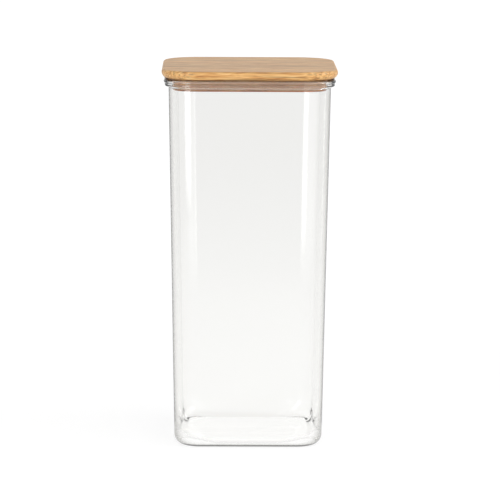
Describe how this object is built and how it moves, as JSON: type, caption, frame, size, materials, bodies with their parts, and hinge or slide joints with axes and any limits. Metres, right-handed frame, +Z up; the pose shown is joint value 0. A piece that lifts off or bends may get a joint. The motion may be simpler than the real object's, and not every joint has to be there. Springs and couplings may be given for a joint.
{
  "type": "glass storage jar",
  "caption": "Tall square clear glass storage jar with rounded corners and a ribbed rim, closed by a push-on bamboo lid with a silicone seal ring.",
  "frame": {"origin": "centre of the flat underside that the jar stands on", "axes": "+Z up along the jar's axis, through the middle of the lid; the four flat walls face +X, -X, +Y and -Y"},
  "size_m": [0.11, 0.11, 0.2383],
  "materials": {
    "clear_glass": "clear blown borosilicate glass, fire-polished, with no coating",
    "bamboo": "laminated bamboo, fine sanded, with a thin satin oil",
    "milky_silicone": "translucent milky food-grade silicone, moulded, satin"
  },
  "bodies": {
    "jar": {"glass_jar": "clear_glass"},
    "lid": {"lid_board": "bamboo", "lid_plug": "bamboo", "seal_ring": "milky_silicone"}
  },
  "joints": [
    {"name": "lid_lift", "type": "slide", "parent": "jar", "child": "lid", "axis": [0, 0, 1], "range_m": [0, 0.06]}
  ]
}
